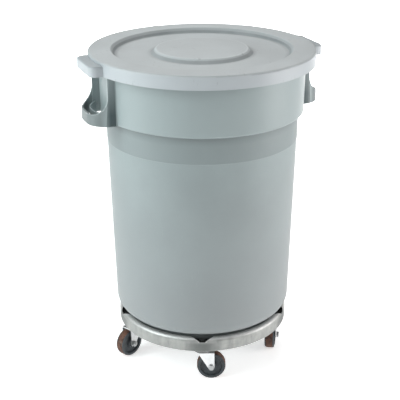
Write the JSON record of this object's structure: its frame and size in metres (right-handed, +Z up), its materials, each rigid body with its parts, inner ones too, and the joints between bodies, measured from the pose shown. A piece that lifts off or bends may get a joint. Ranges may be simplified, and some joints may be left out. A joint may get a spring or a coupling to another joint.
{
  "type": "lidded round container on a caster dolly",
  "caption": "Round lidded plastic container with loop handles, standing loose on a pressed-steel ring dolly that rolls on swivel casters.",
  "frame": {"origin": "on the floor, under the container's axis", "axes": "+Z up; +X through the right handle and the lid's right ear; the handles lie on the X axis"},
  "size_m": [0.6164, 0.5664, 0.828],
  "materials": {
    "lid_plastic": "satin moulded polyethylene, light grey",
    "can_plastic": "satin moulded polyethylene, blue-grey",
    "galvanised_steel": "galvanised pressed sheet",
    "zinc_plated_steel": "bright zinc plate",
    "bolt_steel": "zinc-plated bolts",
    "wheel_plastic": "charcoal moulded wheel body",
    "tread_rubber": "red-brown rubber tread"
  },
  "bodies": {
    "dolly": {"dolly_ring": "galvanised_steel", "race_cups": "zinc_plated_steel", "kingpins": "bolt_steel", "kingpin_washers": "bolt_steel", "kingpin_nuts": "bolt_steel"},
    "container": {"can": "can_plastic"},
    "lid": {"lid": "lid_plastic"},
    "caster_1": {"fork_1": "zinc_plated_steel", "ball_ring_1": "bolt_steel", "axle_bolt_1": "bolt_steel", "axle_nut_1": "bolt_steel", "axle_sleeve_1": "bolt_steel"},
    "wheel_1": {"wheel_core_1": "wheel_plastic", "wheel_tread_1": "tread_rubber"},
    "caster_2": {"fork_2": "zinc_plated_steel", "ball_ring_2": "bolt_steel", "axle_bolt_2": "bolt_steel", "axle_nut_2": "bolt_steel", "axle_sleeve_2": "bolt_steel"},
    "wheel_2": {"wheel_core_2": "wheel_plastic", "wheel_tread_2": "tread_rubber"},
    "caster_3": {"fork_3": "zinc_plated_steel", "ball_ring_3": "bolt_steel", "axle_bolt_3": "bolt_steel", "axle_nut_3": "bolt_steel", "axle_sleeve_3": "bolt_steel"},
    "wheel_3": {"wheel_core_3": "wheel_plastic", "wheel_tread_3": "tread_rubber"},
    "caster_4": {"fork_4": "zinc_plated_steel", "ball_ring_4": "bolt_steel", "axle_bolt_4": "bolt_steel", "axle_nut_4": "bolt_steel", "axle_sleeve_4": "bolt_steel"},
    "wheel_4": {"wheel_core_4": "wheel_plastic", "wheel_tread_4": "tread_rubber"},
    "caster_5": {"fork_5": "zinc_plated_steel", "ball_ring_5": "bolt_steel", "axle_bolt_5": "bolt_steel", "axle_nut_5": "bolt_steel", "axle_sleeve_5": "bolt_steel"},
    "wheel_5": {"wheel_core_5": "wheel_plastic", "wheel_tread_5": "tread_rubber"}
  },
  "joints": [
    {"name": "container_lift", "type": "slide", "parent": "dolly", "child": "container", "axis": [0, 0, 1], "range_m": [0, 0.1]},
    {"name": "lid_lift", "type": "slide", "parent": "container", "child": "lid", "axis": [0, 0, 1], "range_m": [0, 0.12]},
    {"name": "caster_1_swivel", "type": "hinge", "parent": "dolly", "child": "caster_1", "pos_m": [-0.07192, -0.17802, 0.0848], "axis": [0, 0, 1], "continuous": true},
    {"name": "wheel_1_spin", "type": "hinge", "parent": "caster_1", "child": "wheel_1", "pos_m": [-0.0506, -0.18663, 0.037], "axis": [0.3746, 0.9272, 0], "continuous": true},
    {"name": "caster_2_swivel", "type": "hinge", "parent": "dolly", "child": "caster_2", "pos_m": [0.14708, -0.12341, 0.0848], "axis": [0, 0, 1], "continuous": true},
    {"name": "wheel_2_spin", "type": "hinge", "parent": "caster_2", "child": "wheel_2", "pos_m": [0.15927, -0.10391, 0.037], "axis": [-0.848, 0.5299, 0], "continuous": true},
    {"name": "caster_3_swivel", "type": "hinge", "parent": "dolly", "child": "caster_3", "pos_m": [0.16282, 0.10174, 0.0848], "axis": [0, 0, 1], "continuous": true},
    {"name": "wheel_3_spin", "type": "hinge", "parent": "caster_3", "child": "wheel_3", "pos_m": [0.18524, 0.10692, 0.037], "axis": [-0.225, 0.9744, 0], "continuous": true},
    {"name": "caster_4_swivel", "type": "hinge", "parent": "dolly", "child": "caster_4", "pos_m": [-0.04645, 0.1863, 0.0848], "axis": [0, 0, 1], "continuous": true},
    {"name": "wheel_4_spin", "type": "hinge", "parent": "caster_4", "child": "wheel_4", "pos_m": [-0.06061, 0.20442, 0.037], "axis": [-0.788, -0.6157, 0], "continuous": true},
    {"name": "caster_5_swivel", "type": "hinge", "parent": "dolly", "child": "caster_5", "pos_m": [-0.19153, 0.01339, 0.0848], "axis": [0, 0, 1], "continuous": true},
    {"name": "wheel_5_spin", "type": "hinge", "parent": "caster_5", "child": "wheel_5", "pos_m": [-0.21221, 0.00331, 0.037], "axis": [0.4384, -0.8988, 0], "continuous": true}
  ]
}
